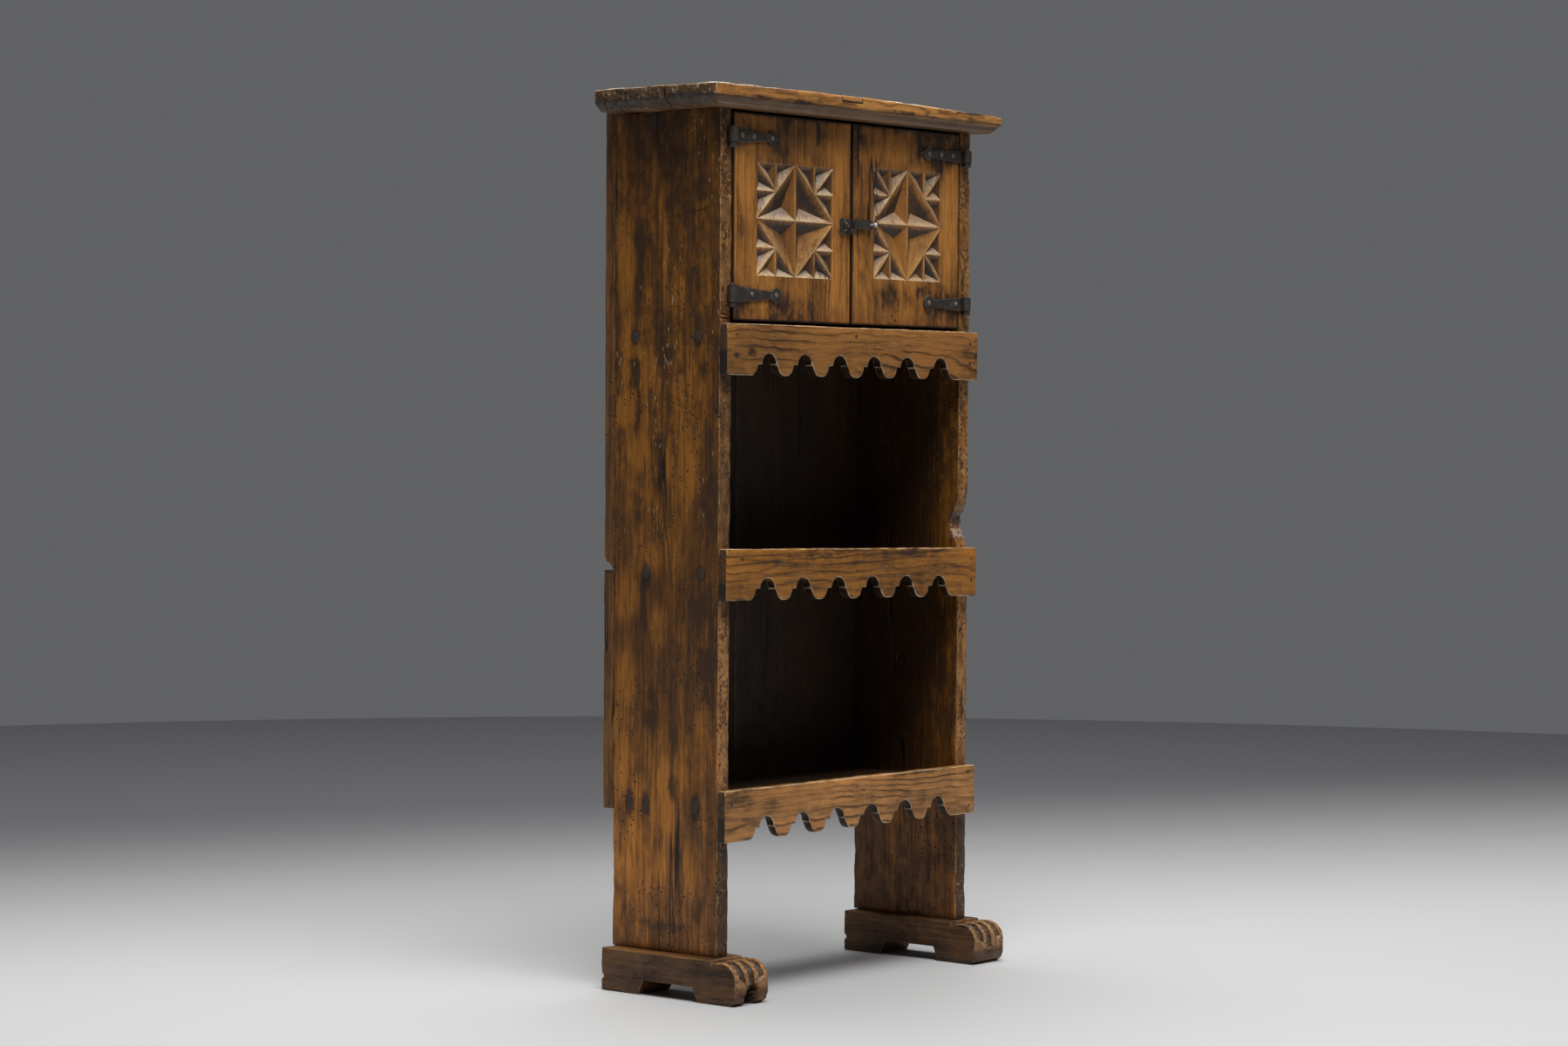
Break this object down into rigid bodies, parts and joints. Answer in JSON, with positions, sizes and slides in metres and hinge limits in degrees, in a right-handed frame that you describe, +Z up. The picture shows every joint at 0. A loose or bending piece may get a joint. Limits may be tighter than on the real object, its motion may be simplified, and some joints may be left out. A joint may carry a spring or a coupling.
{
  "type": "hutch cabinet",
  "caption": "Tall narrow plank cabinet on carved sled feet: open shelves behind scalloped aprons below a small cupboard with chip-carved doors on wrought strap hinges.",
  "frame": {"origin": "On the floor, at the middle of the whole cabinet's width and depth.", "axes": "+Z up, +X to the right as one faces the doors, +Y from the doors towards the back."},
  "size_m": [0.731, 0.3038, 1.42],
  "materials": {
    "top_wood": "worn golden brown, dry and scuffed",
    "side_wood": "dark brown stain over golden wood, waxed and worn",
    "foot_wood": "dark brown, rubbed pale on the edges",
    "shelf_wood": "dull brown, dusty",
    "back_wood": "dull dark brown, unwaxed",
    "apron_wood": "golden brown, waxed",
    "door_wood": "golden brown, waxed, dark in the carving",
    "peg_wood": "dark end grain",
    "wrought_iron": "forged black, rubbed on the high spots"
  },
  "bodies": {
    "carcass": {"left_side": "side_wood", "right_side": "side_wood", "left_foot": "foot_wood", "right_foot": "foot_wood", "cupboard_floor": "shelf_wood", "middle_shelf": "shelf_wood", "bottom_shelf": "shelf_wood", "cupboard_floor_peg_left_front": "peg_wood", "cupboard_floor_peg_left_back": "peg_wood", "cupboard_floor_peg_right_front": "peg_wood", "cupboard_floor_peg_right_back": "peg_wood", "middle_shelf_peg_left_front": "peg_wood", "middle_shelf_peg_left_back": "peg_wood", "middle_shelf_peg_right_front": "peg_wood", "middle_shelf_peg_right_back": "peg_wood", "bottom_shelf_peg_left_front": "peg_wood", "bottom_shelf_peg_left_back": "peg_wood", "bottom_shelf_peg_right_front": "peg_wood", "bottom_shelf_peg_right_back": "peg_wood", "bottom_shelf_peg_left_old": "peg_wood", "upper_apron": "apron_wood", "middle_apron": "apron_wood", "lower_apron": "apron_wood", "back_board_upper_left": "back_wood", "back_board_upper_right": "back_wood", "back_board_lower_left": "back_wood", "back_board_lower_right": "back_wood", "top_front_board": "top_wood", "top_rear_board": "top_wood", "top_edge_patch": "top_wood", "door_stop": "shelf_wood", "left_upper_pintle": "wrought_iron", "left_lower_pintle": "wrought_iron", "right_upper_pintle": "wrought_iron", "right_lower_pintle": "wrought_iron"},
    "left_door": {"left_door": "door_wood", "left_upper_strap": "wrought_iron", "left_lower_strap": "wrought_iron", "left_upper_strap_nail_1": "wrought_iron", "left_upper_strap_nail_2": "wrought_iron", "left_upper_strap_nail_3": "wrought_iron", "left_lower_strap_nail_1": "wrought_iron", "left_lower_strap_nail_2": "wrought_iron", "latch_keeper": "wrought_iron", "latch_keeper_nail": "wrought_iron"},
    "right_door": {"right_door": "door_wood", "right_upper_strap": "wrought_iron", "right_lower_strap": "wrought_iron", "right_upper_strap_nail_1": "wrought_iron", "right_upper_strap_nail_2": "wrought_iron", "right_upper_strap_nail_3": "wrought_iron", "right_lower_strap_nail_1": "wrought_iron", "right_lower_strap_nail_2": "wrought_iron", "latch_pin": "wrought_iron"},
    "latch_hook": {"latch_hook": "wrought_iron"}
  },
  "joints": [
    {"name": "left_door_hinge", "type": "hinge", "parent": "carcass", "child": "left_door", "pos_m": [-0.293, -0.0979, 1.22005], "axis": [0, 0, -1], "range_deg": [0, 170]},
    {"name": "right_door_hinge", "type": "hinge", "parent": "carcass", "child": "right_door", "pos_m": [0.304, -0.0979, 1.22005], "axis": [0, 0, 1], "range_deg": [0, 170]},
    {"name": "latch_hook_pivot", "type": "hinge", "parent": "right_door", "child": "latch_hook", "pos_m": [0.0515, -0.09435, 1.22005], "axis": [0, 1, 0], "range_deg": [-6, 100]}
  ]
}
